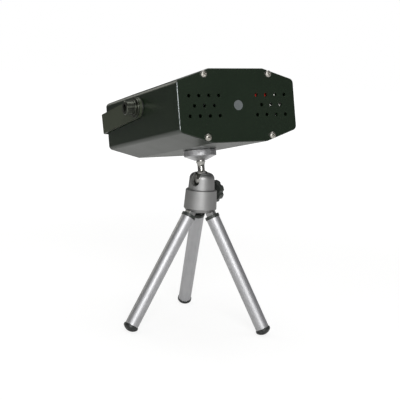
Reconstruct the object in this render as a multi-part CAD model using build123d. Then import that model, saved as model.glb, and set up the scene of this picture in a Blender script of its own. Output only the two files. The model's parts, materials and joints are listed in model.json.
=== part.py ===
"""Small laser show projector on a pocket tripod.

An eight-sided extruded housing is closed by a front and a rear panel and hangs in a
flat yoke. A quarter-inch stud with a ball at its foot carries it on a three-legged
stand. All sizes are millimetres. The floor is z = 0 and the front faces -Y.

The head pieces are drawn in the head's own frame, whose origin is the centre of the
ball and whose Z runs up the stud. The stand is drawn round its own upright axis.
"""
from build123d import *
import os
from math import cos, pi, radians, sin, sqrt

# Clearances
slide_gap = 0.15
running_gap = 0.05
ball_gap = 0.08
seat_gap = 0.02
plain_gap = 0.3

# Edge that small turned and moulded pieces share
small_edge = 0.4

# Housing: an eight-sided tube with level top and bottom faces and upright sides
body_width = 92.0
body_height = 50.6
body_depth = 124.0
level_face = 42.8
upright_face = 34.8
level_corner = 1.6
upright_corner = 3.4
wall = 1.8
panel_thickness = 2.2
panel_edge = 0.5
stud_to_front = 61.0

# Corner screws of both panels
screw_across = 50.8
screw_under_face = 2.7
screw_boss_radius = 3.1
screw_radius = 1.5
screw_head_radius = 2.5
screw_head_height = 1.7
screw_head_rim = 0.6
screw_crown_radius = 1.8
screw_crown_height = 1.46
screw_length = 9.0
recess_width = 0.6
recess_length = 3.25
recess_depth = 0.9

# Vent holes of the front panel, two clusters of three staggered rows
vent_radius = 1.25
vent_pitch = 7.6
vent_row_pitch = 6.9
vent_outer = 37.6
vent_columns = 4

# Light aperture
aperture_radius = 3.5
aperture_ledge = 0.6
window_thickness = 1.1

# Yoke and its pivots
pivot_to_front = 62.0
pivot_above_middle = 7.0
yoke_thickness = 2.0
yoke_width = 15.0
yoke_gap = 0.8
yoke_to_rear = 4.7
yoke_bend = 5.0
yoke_droop = 4.0
yoke_hole_radius = 4.25
yoke_wall_hole_radius = 2.25
yoke_wall_hole_spread = 42.0
pivot_bolt_radius = 3.0
pivot_bolt_head_radius = 5.0
pivot_bolt_head = 6.0
pivot_bolt_edge = 0.5
pivot_hex = 5.0
pivot_hex_depth = 3.0
spring_washer_radius = 5.6
spring_washer = 1.6
spring_washer_split = 1.2
spring_washer_turn = 25.0
flat_washer_radius = 7.2
flat_washer = 1.2
pivot_nut_hex = 10.0
pivot_nut = 5.0

# Quarter-inch stud, its ball and the locking disc
ball_radius = 6.5
stem_radius = 2.6
stem_shoulder_radius = 3.5
thread_radius = 3.1
stud_rise = 21.4
stud_engaged = 6.8
disc_radius = 12.0
disc_rim = 4.5
disc_cone = 3.2
disc_neck_radius = 4.3
disc_teeth = 80
disc_tooth = 0.4
disc_edge = 0.4
shoulder_drop = 1.0
shoulder_flare = 3.6
insert_radius = 4.8
insert_flange_radius = 7.6
insert_flange = 1.5
insert_height = 8.6

# Ball socket: a dome with a mouth and a slot that lets the stem lie down
dome_radius = 9.3
dome_foot_radius = 9.8
dome_top = 4.6
dome_top_radius = 6.0
dome_shoulder = 0.2
mouth_height = 4.0
mouth_flare = 0.5
dome_foot = 7.7
dome_neck_radius = 8.2
dome_neck = 4.7
stem_slot = 6.2
slot_floor = 1.8
slot_azimuth = -149.8
seat_top = 4.2
seat_height = 9.0
groove_depth = 0.9
groove_half = 1.9
groove_floor_half = 1.0

# Hub of the stand
hub_top_radius = 11.5
hub_radius = 12.2
hub_height = 16.2
hub_top_chamfer = 0.6
hub_chamfer_height = 2.2
hub_chamfer = 1.6
hub_floor = 1.2

# Clamp screw and its knob
clamp_drop = 10.6
clamp_azimuth = 30.0
clamp_radius = 2.0
clamp_tip_radius = 0.8
knob_radius = 8.8
knob_thickness = 6.4
knob_gap = 0.9
knob_lobes = 8
knob_scallop_radius = 1.9
knob_scallop_depth = 0.9
knob_edge = 0.7

# Legs
leg_count = 3
leg_azimuth = 69.6
leg_spread = 30.25
leg_folded = 1.0
pivot_radius = 6.4
pivot_drop = 20.8
eye_radius = 3.0
eye_thickness = 6.0
eye_neck = 5.6
pin_radius = 1.0
pin_length = 10.0
collar_distance = 6.4
collar_thickness = 2.4
collar_radius = 5.4
plug_length = 10.0
eye_stem_radius = 2.2
eye_stem_length = 8.0
tube_radius = 5.0
tube_wall = 0.8
leg_length = 99.3
foot_radius = 5.5
foot_cup = 1.8
foot_depth = 2.8
foot_flat = 0.28
foot_edge = 0.3

# Plate that keeps the leg pins in
plate_radius = 9.0
plate_thickness = 0.9
plate_screw_radius = 1.5
plate_screw_head = 2.6
plate_screw_head_height = 1.2
plate_screw_length = 5.0

# How the ball is set: the stud leans back and to the left
lean = 12.1
lean_azimuth = 103.4

# Laser modules and the block that holds and cools them
module_radius = 6.0
module_length = 34.0
module_spacing = 15.0
module_nose_radius = 4.2
module_nose = 5.0
module_edge = 0.5
lens_radius = 3.0
lens_thickness = 1.5
lens_inset = 0.5
block_length = 28.0
block_start = 44.0
block_ring = 2.4
block_base = 3.0
block_base_width = 32.5
block_base_middle = 4.25
block_web = 5.0
block_clamp_slit = 1.2
block_fin = 1.6
block_fin_step = 3.5
block_to_coils = 0.6

# Mirror that turns the red beam and filter that joins it to the green one
mirror_depth = 31.0
mirror_side = 10.0
mirror_thickness = 1.2
mirror_edge = 0.25
mirror_post = 2.0
mirror_turn = 45.0
mirror_strip = (26.0, 12.0)
beam_window = 3.4

# Turning grating, its motor and bracket
bracket_depth = 14.5
bracket_thickness = 1.5
bracket_foot = 10.0
bracket_width = 34.0
motor_offset = 8.6
motor_radius = 5.5
motor_length = 9.5
motor_boss_radius = 2.0
motor_boss = 1.4
motor_shaft_radius = 0.75
motor_shaft = 7.0
grating_radius = 12.0
grating_thickness = 1.0
grating_hub_radius = 3.0
grating_hub = 3.0

# Driver board standing in the housing's grooves
board_to_side = 10.0
board_thickness = 1.6
board_start = 6.0
board_length = 96.0
groove_rib = 1.3
groove_rib_height = 2.6
capacitor_size = (7.0, 15.0, 9.5)
capacitor_place = (24.0, 7.5)
connector_size = (5.0, 13.0, 9.0)
connector_place = (14.0, -2.4)
coil_radius = 5.5
coil_height = 7.0
coil_places = ((52.0, 8.0), (52.0, -8.0))

# Fan behind the rear panel
fan_size = 30.0
fan_depth = 10.0
fan_corner = 2.5
fan_x = -22.0
fan_z = 2.0
fan_bore_radius = 14.2
fan_hole_spread = 24.0
fan_hole_radius = 1.6
fan_base_radius = 6.6
fan_base = 1.4
fan_strut = 2.0
fan_struts = 3
fan_hub_radius = 6.4
fan_hub_depth = 7.0
fan_hub_edge = 0.6
fan_blades = 7
fan_blade = 1.0
fan_blade_chord = 6.4
fan_root_chord = 5.1
fan_blade_sink = 0.8
fan_tip_gap = 0.6
fan_pitch_root = 50.0
fan_pitch_tip = 32.0
fan_axle_radius = 0.8
grille_rings = ((12.2, 13.8), (8.6, 10.4), (5.0, 6.8))
grille_bar = 2.0

# Controls of the rear panel, across from its middle and up from its underside
controls_above_underside = 10.5
jack_x = 0.0
jack_radius = 4.2
jack_lip_radius = 5.2
jack_lip = 1.0
jack_bore_radius = 2.9
jack_depth = 10.5
jack_bore_depth = 9.0
jack_pin_radius = 1.0
jack_pin_length = 8.0
jack_body = (9.0, 8.0)
rocker_x = 12.4
rocker_bezel = (14.0, 9.6)
rocker_bezel_height = 1.4
rocker_body = (12.6, 8.2)
rocker_body_depth = 9.0
rocker_cap = (10.4, 6.0)
rocker_cap_height = 2.6
rocker_dish = 1.43
rocker_foot = 8.32
rocker_floor_gap = 1.4
rocker_throw = 8.0
button_x = 22.6
button_radius = 2.3
button_rise = 1.6
button_travel = 0.6
button_flange_radius = 3.2
button_flange = 0.8
button_body = 6.4
button_body_depth = 4.0
speed_x = 31.2
speed_above_controls = 1.4
speed_knob_radius = 4.0
speed_knob_height = 8.0
speed_knob_gap = 0.5
speed_flutes = 12
speed_flute_radius = 0.5
speed_shaft_radius = 1.5
speed_body_radius = 4.4
speed_body_depth = 6.0
speed_bush_radius = 2.6
speed_pointer = 0.7
microphone_x = 12.4
microphone_z = 13.0
microphone_radius = 3.0
microphone_depth = 2.6
microphone_hole = 0.8

# Values worked out from the sizes above
middle = stud_rise + body_height / 2
front = -stud_to_front
rear = front + body_depth
tube_front = front + panel_thickness
tube_rear = rear - panel_thickness
slope = (body_height - upright_face) / (body_width - level_face)
side_x = body_width / 2
floor_z = -body_height / 2 + wall
board_x = side_x - board_to_side
block_fin_height = board_x - coil_height - block_to_coils - module_spacing - module_radius - block_ring
control_z = -body_height / 2 + controls_above_underside
speed_z = control_z + speed_above_controls
pivot_y = front + pivot_to_front
pivot_z = middle + pivot_above_middle
yoke_reach = rear - pivot_y + yoke_to_rear
yoke_inside = side_x + yoke_gap
yoke_outside = yoke_inside + yoke_thickness
foot_sole = (foot_radius ** 2 + foot_depth ** 2) / (2 * foot_depth)
sole_centre = -leg_length - foot_depth + foot_sole
hinge_height = foot_sole - sole_centre * cos(radians(leg_spread)) - foot_flat
ball_height = hinge_height + pivot_drop
socket_radius = ball_radius + ball_gap
hub_top = -dome_foot
hub_bottom = hub_top - hub_height
screw_up = body_height / 2 - (screw_across - level_face) / 2 * slope - screw_under_face
corner_screws = [(x * screw_across / 2, z * screw_up) for x in (-1, 1) for z in (-1, 1)]

# Places of the finished parts
head_place = Pos(0, 0, ball_height) * Rot(0, 0, lean_azimuth - 90) * Rot(-lean, 0, 0) * Rot(0, 0, 90 - lean_azimuth)
stand_place = Pos(0, 0, ball_height)
yoke_place = Pos(0, pivot_y, pivot_z) * Rot(-yoke_droop, 0, 0)
clamp_place = Rot(0, 0, clamp_azimuth) * Pos(0, 0, -clamp_drop)
leg_azimuths = [leg_azimuth + 360 / leg_count * n for n in range(leg_count)]
leg_pivots = [Rot(0, 0, azimuth) * Pos(pivot_radius, 0, -pivot_drop) for azimuth in leg_azimuths]


def face_plane(y):
    """Upright plane across the head at depth y: x to the right, z from the body's middle."""
    return Plane(origin=(0, y, middle), x_dir=(1, 0, 0), z_dir=(0, -1, 0))


def prism(section, start, length):
    """Extrude a section of the body from depth start towards the rear."""
    return extrude(face_plane(start) * section, length, dir=(0, 1, 0))


def turned(*edges):
    """Revolve a half outline, drawn as radius and height, about the Z axis."""
    return revolve(Plane.XZ * make_face(Curve() + list(edges)), Axis.Z)


def stepped(*points):
    """Revolve a half outline of straight lines about the Z axis."""
    return revolve(Plane.XZ * make_face(Polyline(*points, close=True)), Axis.Z)


def facing(shape, y, x=0, z=0, towards_rear=True):
    """Lay a shape drawn up the Z axis along the depth, from the point x, y, z."""
    turn = -90 if towards_rear else 90
    return Pos(x, y, middle + z) * Rot(turn, 0, 0) * shape


def group(shapes):
    """Keep several separate solids under one name."""
    return Compound(children=[shape.solid() for shape in shapes])


def outer_half_height(x):
    """Half height of the housing's outside at x, on its sloping faces."""
    return body_height / 2 - (abs(x) - level_face / 2) * slope


def inner_half_height(x):
    """Half height of the room inside the housing at x, under its sloping faces."""
    return outer_half_height(x) - wall * sqrt(1 + slope ** 2)


def octagon():
    """Outside section of the housing, with all eight corners rounded."""
    points = [
        (level_face / 2, body_height / 2),
        (side_x, upright_face / 2),
        (side_x, -upright_face / 2),
        (level_face / 2, -body_height / 2),
    ]
    points += [(-x, z) for x, z in reversed(points)]
    outline = Polygon(*reversed(points), align=None)
    at_sides = outline.vertices().filter_by(lambda v: abs(v.X) > side_x - wall)
    outline = fillet(at_sides, upright_corner)
    at_levels = outline.vertices().filter_by(lambda v: abs(v.Y) > body_height / 2 - 1e-3)
    return fillet(at_levels, level_corner)


def pan_screw(length):
    """Pan head screw with its head above z = 0 and its shank below."""
    crown = ThreePointArc(
        (screw_head_radius, screw_head_rim),
        (screw_crown_radius, screw_crown_height),
        (0, screw_head_height),
    )
    body = Polyline(
        (0, screw_head_height),
        (0, -length),
        (screw_radius - seat_gap, -length),
        (screw_radius - seat_gap, 0),
        (screw_head_radius, 0),
        (screw_head_radius, screw_head_rim),
    )
    screw = turned(body, crown)
    bar = Box(recess_length, recess_width, 2 * recess_depth)
    return screw - Pos(0, 0, screw_head_height) * (bar + Rot(0, 0, 90) * bar)


def panel(y):
    """Blank end panel starting at depth y."""
    return prism(octagon(), y, panel_thickness)


def screw_holes(y):
    """Clearance holes of the four corner screws through the panel at depth y."""
    holes = Sketch() + [Pos(x, z) * Circle(screw_radius + slide_gap) for x, z in corner_screws]
    return prism(holes, y, panel_thickness)


def vent_points():
    """Middles of the vent holes, a row of four over one of three over one of four."""
    points = []
    for row in (-1, 0, 1):
        inset = vent_pitch / 2 if row == 0 else 0
        for column in range(vent_columns - (row == 0)):
            x = vent_outer - inset - column * vent_pitch
            points += [(x, row * vent_row_pitch), (-x, row * vent_row_pitch)]
    return points


def make_housing():
    """Extruded tube with four screw channels and two grooves for the driver board."""
    outside = octagon()
    section = outside - offset(outside, -wall)
    for x, z in corner_screws:
        section += Pos(x, z) * Circle(screw_boss_radius) & outside
    slot = board_thickness + 2 * slide_gap
    for end in (-1, 1):
        for beside in (-1, 1):
            x = board_x + board_thickness / 2 + beside * (slot + groove_rib) / 2
            top = inner_half_height(x) + wall / 2
            rib = Rectangle(groove_rib, groove_rib_height + wall / 2)
            section += Pos(x, end * (top - (groove_rib_height + wall / 2) / 2)) * rib
    section -= [Pos(x, z) * Circle(screw_radius) for x, z in corner_screws]
    tube = prism(section, tube_front, tube_rear - tube_front)
    bolt_hole = Cylinder(pivot_bolt_radius + slide_gap, body_width + 2 * wall)
    tube -= Pos(0, pivot_y, pivot_z) * Rot(0, 90, 0) * bolt_hole
    return tube - Pos(0, 0, stud_rise + wall / 2) * Cylinder(insert_radius + seat_gap, 2 * wall)


def make_front_panel():
    """Front panel with its vents, the stepped aperture and a small edge chamfer."""
    plate = panel(front)
    rim = plate.faces().sort_by(Axis.Y)[0].edges()
    plate = chamfer(rim, panel_edge)
    vents = Sketch() + [Pos(x, z) * Circle(vent_radius) for x, z in vent_points()]
    plate -= prism(vents, front, panel_thickness)
    plate -= prism(Circle(aperture_radius - aperture_ledge), front, panel_thickness)
    plate -= prism(Circle(aperture_radius), front, window_thickness + seat_gap)
    return plate - screw_holes(front)


def make_window():
    """Pane that closes the light aperture, flush with the panel."""
    return prism(Circle(aperture_radius - seat_gap), front, window_thickness)


def grille_section():
    """Ring slots over the fan, bridged by four bars."""
    slots = Sketch()
    for inner, outer in grille_rings:
        slots += Circle(outer) - Circle(inner)
    span = 2 * fan_bore_radius
    bars = Rectangle(span, grille_bar) + Rectangle(grille_bar, span)
    return Pos(fan_x, fan_z) * (slots - Rot(0, 0, 45) * bars)


def fan_hole_points():
    """Middles of the fan's four screw holes."""
    half = fan_hole_spread / 2
    return [(fan_x + x * half, fan_z + z * half) for x in (-1, 1) for z in (-1, 1)]


def make_rear_panel():
    """Rear panel with the fan grille and the openings for the controls."""
    plate = panel(tube_rear)
    rim = plate.faces().sort_by(Axis.Y)[-1].edges()
    plate = chamfer(rim, panel_edge)
    cuts = grille_section()
    cuts += [Pos(x, z) * Circle(fan_hole_radius) for x, z in fan_hole_points()]
    cuts += Pos(jack_x, control_z) * Circle(jack_radius + slide_gap)
    cuts += Pos(rocker_x, control_z) * Rectangle(rocker_body[0] + slide_gap, rocker_body[1] + slide_gap)
    cuts += Pos(button_x, control_z) * Circle(button_radius + slide_gap)
    cuts += Pos(speed_x, speed_z) * Circle(speed_bush_radius + slide_gap)
    cuts += Pos(microphone_x, microphone_z) * Circle(microphone_hole)
    return plate - prism(cuts, tube_rear, panel_thickness) - screw_holes(tube_rear)


def make_panel_screws():
    """Four screws in each panel, with their heads on the outside."""
    screw = pan_screw(screw_length)
    screws = [facing(screw, front, x, z, False) for x, z in corner_screws]
    return group(screws + [facing(screw, rear, x, z) for x, z in corner_screws])


def make_tripod_insert():
    """Quarter-inch insert pressed into the bottom from inside."""
    bore = thread_radius + running_gap
    shape = stepped(
        (bore, 0),
        (insert_radius, 0),
        (insert_radius, wall),
        (insert_flange_radius, wall),
        (insert_flange_radius, wall + insert_flange),
        (insert_radius, wall + insert_flange),
        (insert_radius, insert_height),
        (bore, insert_height),
    )
    return Pos(0, 0, stud_rise) * shape


def make_yoke():
    """Flat strip bent to a U, with round ends at the pivots and holes in its crossbar."""
    length = yoke_reach + yoke_thickness + yoke_width / 2
    outer = Pos(0, yoke_reach + yoke_thickness - length / 2) * Rectangle(2 * yoke_outside, length)
    outer = fillet(outer.vertices().group_by(Axis.Y)[-1], yoke_bend)
    inner = Pos(0, yoke_reach - length / 2) * Rectangle(2 * yoke_inside, length)
    inner = fillet(inner.vertices().group_by(Axis.Y)[-1], yoke_bend - yoke_thickness)
    strip = extrude(outer - inner, yoke_width / 2, both=True)
    ends = Plane.YZ * (Circle(yoke_width / 2) + Pos(length, 0) * Rectangle(2 * length, yoke_width))
    strip &= extrude(ends, yoke_outside + yoke_thickness, both=True)
    strip -= Rot(0, 90, 0) * Cylinder(pivot_bolt_radius + running_gap, 2 * yoke_outside + yoke_thickness)
    holes = [Pos(0, 0) * Circle(yoke_hole_radius)]
    holes += [Pos(x * yoke_wall_hole_spread / 2, 0) * Circle(yoke_wall_hole_radius) for x in (-1, 1)]
    through = extrude(Plane.XZ * (Sketch() + holes), yoke_thickness, both=True)
    return yoke_place * (strip - Pos(0, yoke_reach + yoke_thickness / 2, 0) * through)


def at_pivots(shape):
    """Copies of a shape drawn outwards along Z, at the right and the left pivot."""
    middle_of_pivots = Pos(0, pivot_y, pivot_z)
    return group([middle_of_pivots * Rot(0, side * 90, 0) * shape for side in (1, -1)])


def washer(start, thickness, radius, bore):
    """Flat ring from start to start plus thickness."""
    return Pos(0, 0, start) * extrude(Circle(radius) - Circle(bore), thickness)


def make_spring_washer():
    """Split ring under the bolt head."""
    start = yoke_outside + flat_washer
    ring = washer(start, spring_washer, spring_washer_radius, pivot_bolt_radius + slide_gap)
    cut = Box(2 * spring_washer_radius, spring_washer_split, 2 * spring_washer)
    return ring - Pos(spring_washer_radius, 0, start + spring_washer / 2) * Rot(spring_washer_turn, 0, 0) * cut


def make_pivot_bolt():
    """Socket head bolt that runs through the yoke and the side wall into its nut."""
    head_start = yoke_outside + flat_washer + spring_washer
    inner_end = side_x - wall - pivot_nut
    bolt = Pos(0, 0, inner_end) * Cylinder(
        pivot_bolt_radius - seat_gap, head_start - inner_end, align=(Align.CENTER, Align.CENTER, Align.MIN)
    )
    head = extrude(Circle(pivot_bolt_head_radius), pivot_bolt_head)
    head = chamfer(head.edges().group_by(Axis.Z)[-1], pivot_bolt_edge)
    socket = RegularPolygon(pivot_hex / 2, 6, major_radius=False)
    head -= Pos(0, 0, pivot_bolt_head - pivot_hex_depth) * extrude(socket, pivot_hex_depth)
    return bolt + Pos(0, 0, head_start) * head


def make_pivot_nut():
    """Hexagon nut welded behind the side wall."""
    nut = extrude(RegularPolygon(pivot_nut_hex / 2, 6, major_radius=False) - Circle(pivot_bolt_radius), pivot_nut)
    return Pos(0, 0, side_x - wall - pivot_nut) * nut


def make_lock_disc():
    """Toothed disc that turns on the stud's thread up against the housing."""
    top = stud_rise - slide_gap
    rim_foot = top - disc_rim
    outline = []
    for step in range(2 * disc_teeth):
        radius = disc_radius - disc_tooth * (step % 2)
        angle = pi * step / disc_teeth
        outline.append((radius * cos(angle), radius * sin(angle)))
    rim = Pos(0, 0, rim_foot) * extrude(Polygon(*outline, align=None), disc_rim)
    trimmed = stepped(
        (0, top),
        (disc_radius - disc_edge - disc_tooth, top),
        (disc_radius, top - disc_edge),
        (disc_radius, rim_foot),
        (0, rim_foot),
    )
    cone = stepped(
        (0, rim_foot),
        (disc_radius - disc_tooth, rim_foot),
        (disc_neck_radius, rim_foot - disc_cone),
        (0, rim_foot - disc_cone),
    )
    bore = Pos(0, 0, top - stud_rise / 2) * Cylinder(thread_radius + running_gap, stud_rise)
    return (rim & trimmed) + cone - bore


def make_ball_stud():
    """Ball, slim stem, flared shoulder and quarter-inch thread in one turned piece."""
    meet = sqrt(ball_radius ** 2 - stem_radius ** 2)
    shoulder = stud_rise - slide_gap - disc_rim - disc_cone - shoulder_drop
    thread_top = stud_rise + stud_engaged
    ball_arc = ThreePointArc((0, -ball_radius), (ball_radius, 0), (stem_radius, meet))
    flare_foot = (stem_radius, shoulder - shoulder_flare)
    flare = TangentArc(flare_foot, (stem_shoulder_radius, shoulder), tangent=(0, 1))
    return turned(
        ball_arc,
        Line((stem_radius, meet), flare_foot),
        flare,
        Polyline(
            (stem_shoulder_radius, shoulder),
            (thread_radius, shoulder + shoulder_drop / 2),
            (thread_radius, thread_top - disc_edge),
            (thread_radius - disc_edge, thread_top),
            (0, thread_top),
            (0, -ball_radius),
        ),
    )


def make_socket_dome():
    """Dome that holds the ball: rounded shoulder, flared mouth, neck and stem slot."""
    lip = sqrt(socket_radius ** 2 - mouth_height ** 2)
    lip_meet = (lip, mouth_height)
    neck_foot = -dome_foot - dome_neck
    half_way = sqrt(socket_radius ** 2 - mouth_height ** 2 / 4)
    shape = turned(
        ThreePointArc((socket_radius, 0), (half_way, mouth_height / 2), lip_meet),
        Polyline(lip_meet, (lip + mouth_flare, dome_top), (dome_top_radius, dome_top)),
        TangentArc((dome_radius, dome_shoulder), (dome_top_radius, dome_top), tangent=(0, 1)),
        Polyline(
            (dome_radius, dome_shoulder),
            (dome_foot_radius, -dome_foot),
            (dome_neck_radius, -dome_foot),
            (dome_neck_radius, neck_foot),
            (socket_radius, neck_foot),
            (socket_radius, 0),
        ),
    )
    reach = 2 * dome_foot_radius
    from_middle = (Align.MIN, Align.CENTER, Align.MIN)
    slot = Pos(0, 0, -slot_floor) * Box(reach, stem_slot, reach, align=from_middle)
    slot += Pos(reach / 2, 0, -slot_floor) * Rot(0, 90, 0) * Cylinder(stem_slot / 2, reach)
    screw_way = Pos(reach / 2, 0, 0) * Rot(0, 90, 0) * Cylinder(clamp_radius + plain_gap, reach)
    return shape - Rot(0, 0, slot_azimuth) * slot - clamp_place * screw_way


def make_ball_seat():
    """Cup under the ball, with a groove whose flank the clamp screw lifts."""
    radius = socket_radius - ball_gap
    foot = -seat_top - seat_height
    cup_radius = sqrt(socket_radius ** 2 - seat_top ** 2)
    half_way = sqrt(socket_radius ** 2 - cup_radius ** 2 / 4)
    groove = -clamp_drop
    return turned(
        ThreePointArc((0, -socket_radius), (cup_radius / 2, -half_way), (cup_radius, -seat_top)),
        Polyline(
            (cup_radius, -seat_top),
            (radius, -seat_top),
            (radius, groove + groove_half),
            (radius - groove_depth, groove + groove_floor_half),
            (radius - groove_depth, groove - groove_floor_half),
            (radius, groove - groove_half),
            (radius, foot),
            (0, foot),
            (0, -socket_radius),
        ),
    )


def eye_outline(extra):
    """Side view of a leg's eye and neck, hanging straight down from its pin."""
    neck = Rectangle(eye_neck + 2 * extra, collar_distance, align=(Align.CENTER, Align.MAX))
    return Circle(eye_radius + extra) + neck


def eye_room():
    """Room that one leg's eye needs between its spread and its folded place."""
    room = Sketch()
    for angle in (leg_spread, leg_folded):
        room += Rot(0, 0, angle) * eye_outline(slide_gap)
    return extrude(Plane.XZ * room, eye_thickness / 2 + slide_gap, both=True)


def make_hub():
    """Turned hub with a pocket for the ball seat and three forks for the legs."""
    body = stepped(
        (0, hub_top),
        (hub_top_radius - hub_top_chamfer, hub_top),
        (hub_top_radius, hub_top - hub_top_chamfer),
        (hub_radius, hub_bottom + hub_chamfer_height),
        (hub_radius - hub_chamfer, hub_bottom),
        (0, hub_bottom),
    )
    pocket_foot = -pivot_drop + eye_radius + slide_gap + hub_floor
    pocket = Pos(0, 0, pocket_foot) * Cylinder(
        dome_neck_radius + seat_gap, hub_height, align=(Align.CENTER, Align.CENTER, Align.MIN)
    )
    reach = 2 * hub_radius
    screw_way = Pos(reach / 2, 0, 0) * Rot(0, 90, 0) * Cylinder(clamp_radius + running_gap, reach)
    body -= pocket + clamp_place * screw_way
    from_above = (Align.CENTER, Align.CENTER, Align.MAX)
    pin_way = Rot(90, 0, 0) * Cylinder(pin_radius + seat_gap, pin_length + slide_gap)
    pin_way += Box(2 * (pin_radius + seat_gap), pin_length + slide_gap, hub_height, align=from_above)
    for pivot in leg_pivots:
        body -= pivot * (eye_room() + pin_way)
    recess = Pos(0, 0, hub_bottom) * Cylinder(plate_radius + slide_gap, 2 * plate_thickness)
    body -= recess
    core = Cylinder(plate_screw_radius, plate_screw_length, align=(Align.CENTER, Align.CENTER, Align.MIN))
    return body - Pos(0, 0, hub_bottom) * core


def make_pin_plate():
    """Round plate under the hub that keeps the pins in, notched for the three eyes."""
    plate = Cylinder(plate_radius, plate_thickness, align=(Align.CENTER, Align.CENTER, Align.MIN))
    plate = Pos(0, 0, hub_bottom) * plate
    for pivot in leg_pivots:
        plate -= pivot * eye_room()
    return plate - Pos(0, 0, hub_bottom) * Cylinder(plate_screw_radius + slide_gap, 4 * plate_thickness)


def make_plate_screw():
    """Screw that holds the pin plate, with its head below."""
    end = plate_screw_length - slide_gap
    radius = plate_screw_radius - seat_gap
    shape = stepped(
        (0, end),
        (radius, end),
        (radius, 0),
        (plate_screw_head, 0),
        (plate_screw_head - small_edge, -plate_screw_head_height),
        (0, -plate_screw_head_height),
    )
    slot = Box(2 * plate_screw_head, recess_width, plate_screw_head_height)
    return Pos(0, 0, hub_bottom) * (shape - Pos(0, 0, -plate_screw_head_height) * slot)


def make_pins():
    """Steel pins that the legs fold on."""
    pin = Rot(90, 0, 0) * Cylinder(pin_radius, pin_length)
    return group([pivot * pin for pivot in leg_pivots])


def make_clamp_screw():
    """Screw from the knob through the hub, with a cone point in the seat's groove."""
    tip = socket_radius - ball_gap - groove_depth + slide_gap
    knob_start = hub_radius + knob_gap
    end = knob_start + knob_thickness - knob_edge
    shape = stepped(
        (0, tip),
        (clamp_tip_radius, tip),
        (clamp_radius, tip + clamp_radius - clamp_tip_radius),
        (clamp_radius, end),
        (0, end),
    )
    return clamp_place * Rot(0, 90, 0) * shape


def make_clamp_knob():
    """Moulded knob with eight finger scallops."""
    outline = Circle(knob_radius)
    ring = knob_radius + knob_scallop_radius - knob_scallop_depth
    outline -= PolarLocations(ring, knob_lobes) * Circle(knob_scallop_radius)
    knob = extrude(outline, knob_thickness)
    knob = chamfer(knob.edges().group_by(Axis.Z)[-1], knob_edge)
    screw_room = Cylinder(
        clamp_radius + seat_gap, knob_thickness - knob_edge + seat_gap, align=(Align.CENTER, Align.CENTER, Align.MIN)
    )
    return clamp_place * Rot(0, 90, 0) * Pos(0, 0, hub_radius + knob_gap) * (knob - screw_room)


def on_leg(number, shape):
    """Put a shape that hangs down from its pin on one of the spread legs."""
    return leg_pivots[number] * Rot(0, -leg_spread, 0) * shape


def make_leg_eye():
    """Metal eye on the pin, with a stem that is fixed in the leg's plug."""
    eye = extrude(Plane.XZ * eye_outline(0), eye_thickness / 2, both=True)
    stem = Cylinder(eye_stem_radius, eye_stem_length, align=(Align.CENTER, Align.CENTER, Align.MAX))
    eye += Pos(0, 0, -collar_distance) * stem
    return eye - Rot(90, 0, 0) * Cylinder(pin_radius + running_gap, 2 * eye_thickness)


def make_leg_collar():
    """Black plug that closes the top of a leg tube, with the collar that shows."""
    top = -collar_distance
    bore = eye_stem_radius + seat_gap
    plug = tube_radius - tube_wall - seat_gap
    return stepped(
        (bore, top),
        (collar_radius, top),
        (collar_radius, top - collar_thickness),
        (plug, top - collar_thickness),
        (plug, top - collar_thickness - plug_length),
        (bore, top - collar_thickness - plug_length),
    )


def make_leg_tube():
    """Drawn aluminium tube of a leg."""
    top = -collar_distance - collar_thickness
    foot = -leg_length
    bore = tube_radius - tube_wall
    return stepped((bore, top), (tube_radius, top), (tube_radius, foot), (bore, foot))


def make_foot():
    """Rubber foot cupped over the end of the tube, with a low domed sole."""
    cup_top = -leg_length + foot_cup
    seat = tube_radius + seat_gap
    floor = -leg_length - seat_gap
    sole = -leg_length - foot_depth
    half_way = sole_centre - sqrt(foot_sole ** 2 - foot_radius ** 2 / 4)
    return turned(
        Polyline(
            (0, floor),
            (seat, floor),
            (seat, cup_top),
            (foot_radius - foot_edge, cup_top),
            (foot_radius, cup_top - foot_edge),
            (foot_radius, -leg_length),
        ),
        ThreePointArc((foot_radius, -leg_length), (foot_radius / 2, half_way), (0, sole)),
        Line((0, sole), (0, floor)),
    )


def make_laser_module():
    """Barrel of a laser module with a narrower nose, pointing to the front."""
    bore = lens_radius + seat_gap
    return stepped(
        (0, 0),
        (module_radius - module_edge, 0),
        (module_radius, module_edge),
        (module_radius, module_length - module_nose),
        (module_nose_radius, module_length - module_nose),
        (module_nose_radius, module_length),
        (bore, module_length),
        (bore, module_length - lens_thickness - lens_inset),
        (0, module_length - lens_thickness - lens_inset),
    )


def make_laser_lens():
    """Collimating lens in the nose of a module."""
    foot = module_length - lens_thickness - lens_inset
    return Pos(0, 0, foot) * Cylinder(lens_radius, lens_thickness, align=(Align.CENTER, Align.CENTER, Align.MIN))


def module_rear():
    """Depth of the rear end of both laser modules."""
    return front + block_start - module_nose + module_length


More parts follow.
